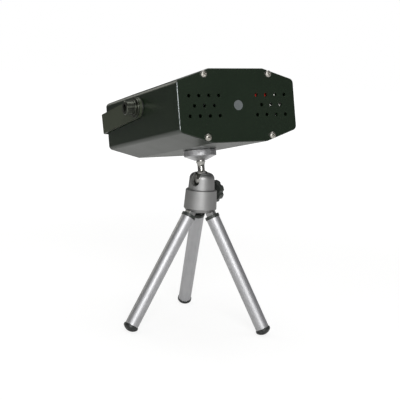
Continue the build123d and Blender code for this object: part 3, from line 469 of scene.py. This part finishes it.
# Width of the eased edges of each piece in millimetres
EASED = {
    "housing_tube": 0.15,
    "front_panel": 0.12,
    "rear_panel": 0.12,
    "panel_screws": 0.12,
    "aperture_window": 0.1,
    "yoke": 0.25,
    "pivot_bolts": 0.15,
    "pivot_spring_washers": 0.2,
    "pivot_washers": 0.2,
    "yoke_spacers": 0.0,
    "lock_disc": 0.0,
    "ball_stud": 0.0,
    "socket_dome": 0.2,
    "tripod_hub": 0.2,
    "clamp_knob": 0.2,
    "clamp_screw": 0.0,
    "fan_frame": 0.2,
    "fan_rotor": 0.0,
    "fan_screws": 0.12,
    "supply_socket": 0.2,
    "supply_pin": 0.15,
    "power_switch": 0.1,
    "power_rocker": 0.15,
    "mode_button": 0.1,
    "speed_knob": 0.1,
    "pin_plate": 0.1,
    "pin_plate_screw": 0.1,
    "leg_pins": 0.1,
}
for node, edge in EASED.items():
    dress(node, edge)
for side in LEGS:
    dress(side + "_leg_eye", 0.2)
    dress(side + "_leg_collar", 0.15)
    dress(side + "_leg_tube", material=tube_finish[side])
    dress(side + "_leg_foot", 0.15)
for node, plain in frame["nodes"].items():
    plain.data.materials.clear()
    plain.data.materials.append(finishes.get(slot_of[node]) or tube_finish[node.split("_")[0]])


# Small parts that show behind the front vents, and marks of the rear controls

# Sizes in millimetres: across, front to back, upright. The leads' places are shares of the body
CAPACITOR = (12.6, 3.8, 6.8)
CAPACITOR_EDGE = 0.9
CAPACITOR_FROM_BOARD = 8.6
CAPACITOR_UP = 7.4
LEAD_RADIUS = 0.3
LEAD_INTO_BOARD = 0.6
LEAD_APART = 0.42
LEAD_BACK = 0.3
PLUG = (8.8, 3.8, 5.8)
PLUG_EDGE = 0.35
PLUG_FROM_BOARD = 0.1
PLUG_UP = -0.3
TRIMMER = (5.4, 3.8, 4.2)
TRIMMER_EDGE = 0.3
TRIMMER_FROM_BOARD = 0.1
TRIMMER_BACK = 0.3
TRIMMER_UP = 7.3
TRIMMER_SCREW = (1.5, 1.0)
BEHIND_PANEL = 1.2

DIAL_TICKS = 11
DIAL_SWEEP = 300.0
DIAL_RADIUS = 5.5
TICK_WIDTH = 0.3
TICK_SHORT = 0.7
TICK_LONG = 1.1
ROCKER_MARK = 3.1
BAR = (0.4, 2.0)
RING_RADIUS = 0.85
RING_WIRE = 0.2
RING_FLAT = 0.5
RING_SIDES = 32
RING_WIRE_SIDES = 8
PAINT = 0.03
# A mark is looked for on the surface from this far outside
LOOK_FROM = 50 * MM


def at_head(x, y, z):
    """Place in the head's frame, from sizes in millimetres."""
    return HEAD @ Matrix.Translation((x * MM, y * MM, z * MM))


def settle(piece, place, name, body, slot, material=None):
    """Put a finished piece where it belongs, on its body and in its finish."""
    apply_all(piece)
    piece.name = name
    piece.data.transform(place @ piece.matrix_basis)
    piece.matrix_basis = Matrix()
    own(piece, body, slot, material)


def shift(piece, place):
    """Move a piece within the one that it is about to join."""
    piece.location = place
    only(piece)
    bpy.ops.object.transform_apply()


def quarter_turn(piece, axis):
    """Turn a piece a quarter round X, Y or Z."""
    turn = {"value": radians(90), "orient_axis": axis, "center_override": (0, 0, 0)}
    edit(piece, lambda: bpy.ops.transform.rotate(**turn))


def block(size, edge, segments=3):
    """Box of a size in millimetres with rounded edges, centred on the origin."""
    deselect()
    bpy.ops.mesh.primitive_cube_add(size=1.0)
    piece = bpy.context.object
    edit(piece, lambda: bpy.ops.transform.resize(value=[side * MM for side in size]))
    bevel(piece, edge, segments)
    smooth(piece, SMALL_SHARP_ANGLE)
    return piece


def rod(radius, length):
    """Round rod along X, with eased ends, centred on the origin."""
    deselect()
    bpy.ops.mesh.primitive_cylinder_add(vertices=ROD_SIDES, radius=radius * MM, depth=length * MM)
    piece = bpy.context.object
    quarter_turn(piece, "Y")
    bevel(piece, radius * ROD_EASE, 2, limit_method="ANGLE")
    smooth(piece, SMALL_SHARP_ANGLE)
    return piece


def join(main, *others):
    """One mesh out of several."""
    only(main)
    for piece in others:
        piece.select_set(True)
    bpy.ops.object.join()
    return main


def make_vent_parts():
    """A red capacitor, a white plug and a pale trimmer, close behind the right vents."""
    board = span("driver_board")[0].x / MM
    low, high = span("front_panel")
    level = (low.z + high.z) / 2 / MM
    width, depth, height = CAPACITOR
    right = board - CAPACITOR_FROM_BOARD
    y = high.y / MM + BEHIND_PANEL + depth / 2
    z = level + CAPACITOR_UP
    place = at_head(right - width / 2, y, z)
    settle(block(CAPACITOR, CAPACITOR_EDGE), place, "vent_capacitor", "head", "capacitor_red")
    leads = [rod(LEAD_RADIUS, board - right + LEAD_INTO_BOARD) for _ in range(2)]
    for lead, end in zip(leads, (-1, 1)):
        shift(lead, (0, 0, end * height * LEAD_APART * MM))
    place = at_head((board + right) / 2, y + depth * LEAD_BACK, z)
    settle(join(*leads), place, "capacitor_leads", "head", "motor_steel")
    place = at_head(board - PLUG[0] / 2 - PLUG_FROM_BOARD, y, level + PLUG_UP)
    settle(block(PLUG, PLUG_EDGE), place, "board_plug", "head", "connector_white")
    trimmer = block(TRIMMER, TRIMMER_EDGE)
    screw = rod(*TRIMMER_SCREW)
    quarter_turn(screw, "Z")
    shift(screw, (0, -depth / 2 * MM, 0))
    x = board - TRIMMER[0] / 2 - TRIMMER_FROM_BOARD
    place = at_head(x, y + TRIMMER_BACK, level + TRIMMER_UP)
    settle(join(trimmer, screw), place, "board_trimmer", "head", "connector_white")


def landing(node, start):
    """Frame on a rear surface that a line from start meets, with Z out of the surface."""
    mesh = frame["nodes"][node].data
    faces = [face.vertices for face in mesh.polygons]
    tree = BVHTree.FromPolygons([vertex.co for vertex in mesh.vertices], faces)
    place, normal, _, _ = tree.ray_cast(start, -HEAD_REAR)
    if place is None:
        raise ValueError("nothing to land on: " + node)
    return axes_at(place, HEAD_RIGHT, normal)


def stroke(width, length):
    """Painted line, centred on the origin."""
    return block((width, length, 2 * PAINT), PAINT / 2, 1)


def make_dial_ticks():
    """Eleven painted ticks round the speed knob, over the knob's real sweep."""
    start = Vector(joints["speed_knob_turn"]["pos_m"]) + HEAD_REAR * LOOK_FROM
    for step in range(DIAL_TICKS):
        turn = radians(DIAL_SWEEP * (step / (DIAL_TICKS - 1) - 0.5))
        spoke = Matrix.Rotation(turn, 3, HEAD_REAR) @ HEAD_UP
        place = landing("rear_panel", start + spoke * DIAL_RADIUS * MM)
        place = place @ Matrix.Rotation(turn, 4, "Z")
        tick = stroke(TICK_WIDTH, TICK_SHORT if step % (DIAL_TICKS // 2) else TICK_LONG)
        settle(tick, place, f"dial_tick_{step}", "head", "connector_white", mark_paint)


def make_rocker_marks():
    """A bar and a ring on the two ends of the rocker."""
    low, high = (Vector(corner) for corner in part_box("power_rocker"))
    start = (low + high) / 2 + HEAD_REAR * LOOK_FROM
    aside = HEAD_RIGHT * ROCKER_MARK * MM
    body, slot = "power_rocker", "connector_white"
    place = landing("power_rocker", start + aside)
    settle(stroke(*BAR), place, "on_mark", body, slot, mark_paint)
    deselect()
    bpy.ops.mesh.primitive_torus_add(
        major_radius=RING_RADIUS * MM,
        minor_radius=RING_WIRE * MM,
        major_segments=RING_SIDES,
        minor_segments=RING_WIRE_SIDES,
    )
    ring = bpy.context.object
    edit(ring, lambda: bpy.ops.transform.resize(value=(1, 1, RING_FLAT)))
    only(ring)
    bpy.ops.object.shade_smooth()
    place = landing("power_rocker", start - aside)
    settle(ring, place, "off_mark", body, slot, mark_paint)


mark_paint = moulded("mark_paint", shade(215, 217, 212), 0.55, strength=0.1)

make_vent_parts()
make_dial_ticks()
make_rocker_marks()


# Room, light and camera

# Camera as it stood for the photograph
CAMERA_PLACE = (-0.32543, -0.61863, 0.19866)
CAMERA_TURN = (81.327, -3.687, -27.8)
CAMERA_LENS = 84.58
CAMERA_NEAR = 0.01

# Each lamp's place, width, height, power and colour, all turned towards the middle
MIDDLE = (0, 0, 0.12)
LAMPS = {
    "key": ((-0.37, -0.93, 0.56), 0.5, 0.5, 7.5, WHITE),
    "side": ((-0.42, 0.98, 0.56), 0.9, 0.45, 1.8, (1.0, 0.99, 0.9)),
    "edge": ((-1.05, -0.55, 0.22), 0.10, 0.40, 0.6, WHITE),
    "top": ((0.1, 0.25, 1.3), 0.8, 0.8, 4.0, WHITE),
}

FLOOR_SIZE = 12.0
FLOOR_WHITE = 1.12
FLOOR_VEIL = 0.72
FLOOR_FAR = 0.6
FLOOR_FAR_FADE = 0.35
# Painted shade: the floor's colour greys away from the lamps, towards this side
PAINTED_SHADE_SIDE = (-0.30, 0.95, 0)
PAINTED_SHADE_START = 0.22
PAINTED_SHADE_END = 0.62
# Brightness of the room in diffuse light, and in gloss on the camera's left and right
SOFT_LIGHT = 0.42
CAMERA_RIGHT = (0.885, -0.466, 0)
GLOSS_LEFT = 0.10
GLOSS_RIGHT = 0.2


def make_floor():
    """Pale floor that reads white to the eye and keeps a soft shadow; painted shade greys it away from the lamps,
    which shows in reflections.
    """
    deselect()
    bpy.ops.mesh.primitive_plane_add(size=FLOOR_SIZE, location=(0, 0, 0))
    floor = bpy.context.object
    floor.name = "floor"
    finish = Finish("pale_floor")
    where = finish.point()
    cloud = finish.noise(where, scale=3.0)
    dot = {"operation": "DOT_PRODUCT"}
    along = finish.add("ShaderNodeVectorMath", dot, where, PAINTED_SHADE_SIDE, output="Value")
    painted_shade = along.above((PAINTED_SHADE_START + PAINTED_SHADE_END) / 2, (PAINTED_SHADE_END - PAINTED_SHADE_START) / 2)
    pale = finish.mix(cloud * 0.3, shade(236, 236, 235), shade(232, 232, 232))
    # Painted shade: the floor's colour turns mid grey away from the lamps
    colour = finish.mix(painted_shade, pale, shade(125, 125, 125))
    finish.set(Base_Color=colour, Roughness=0.75, Specular_IOR_Level=0.2)
    length = {"operation": "LENGTH"}
    distance = finish.add("ShaderNodeVectorMath", length, where, output="Value")
    far = distance.above(FLOOR_FAR, FLOOR_FAR_FADE).most(painted_shade)
    eye = finish.add("ShaderNodeLightPath", output="Is Camera Ray")
    veil = eye * (far * (1 - FLOOR_VEIL) + FLOOR_VEIL)
    matt = Wire(finish, finish.shader.outputs[0])
    white = finish.add("ShaderNodeEmission", None, WHITE, FLOOR_WHITE)
    shown = finish.add("ShaderNodeMixShader", None, veil, matt, white)
    finish.feed(finish.nodes["Material Output"].inputs["Surface"], shown)
    floor.data.materials.append(finish.material)


def make_lamp(name, place, width, height, power, colour):
    """Soft rectangular lamp turned towards the middle."""
    lamp = bpy.data.lights.new(name, "AREA")
    lamp.shape = "RECTANGLE"
    lamp.size = width
    lamp.size_y = height
    lamp.energy = power
    lamp.color = colour
    stand = bpy.data.objects.new(name, lamp)
    stand.location = place
    stand.rotation_euler = (Vector(MIDDLE) - Vector(place)).to_track_quat("-Z", "Y").to_euler()
    bpy.context.scene.collection.objects.link(stand)


def make_world():
    """White surroundings to the eye, a dim room in gloss, plain soft light elsewhere."""
    world = bpy.data.worlds.new("studio")
    bpy.context.scene.world = world
    tree = Tree(world)
    bright = Wire(tree, tree.nodes["Background"].outputs[0])
    tree.feed(tree.nodes["Background"].inputs["Color"], WHITE)
    dark = tree.add("ShaderNodeBackground", None, (0, 0, 0), 0.0)
    eye = tree.add("ShaderNodeLightPath", output="Is Camera Ray")
    glossy = eye.also("Is Glossy Ray")
    where = tree.add("ShaderNodeTexCoord", output="Generated")
    dot = {"operation": "DOT_PRODUCT"}
    along = tree.add("ShaderNodeVectorMath", dot, where, CAMERA_RIGHT, output="Value")
    room = tree.add("ShaderNodeMapRange", None, along, -1.0, 1.0, GLOSS_LEFT, GLOSS_RIGHT)
    light = (1 - glossy) * SOFT_LIGHT + glossy * room
    share = eye.most(eye.also("Is Transmission Ray")).most(light)
    blend = tree.add("ShaderNodeMixShader", None, share, dark, bright)
    tree.feed(tree.nodes["World Output"].inputs["Surface"], blend)


def make_camera():
    lens = bpy.data.cameras.new("camera")
    lens.lens = CAMERA_LENS
    lens.sensor_fit = "HORIZONTAL"
    lens.clip_start = CAMERA_NEAR
    camera = bpy.data.objects.new("camera", lens)
    camera.location = CAMERA_PLACE
    camera.rotation_euler = [radians(angle) for angle in CAMERA_TURN]
    bpy.context.scene.collection.objects.link(camera)
    bpy.context.scene.camera = camera


make_floor()
for name, lamp in LAMPS.items():
    make_lamp(name, *lamp)
make_world()
make_camera()
bpy.context.scene.view_settings.view_transform = "Standard"
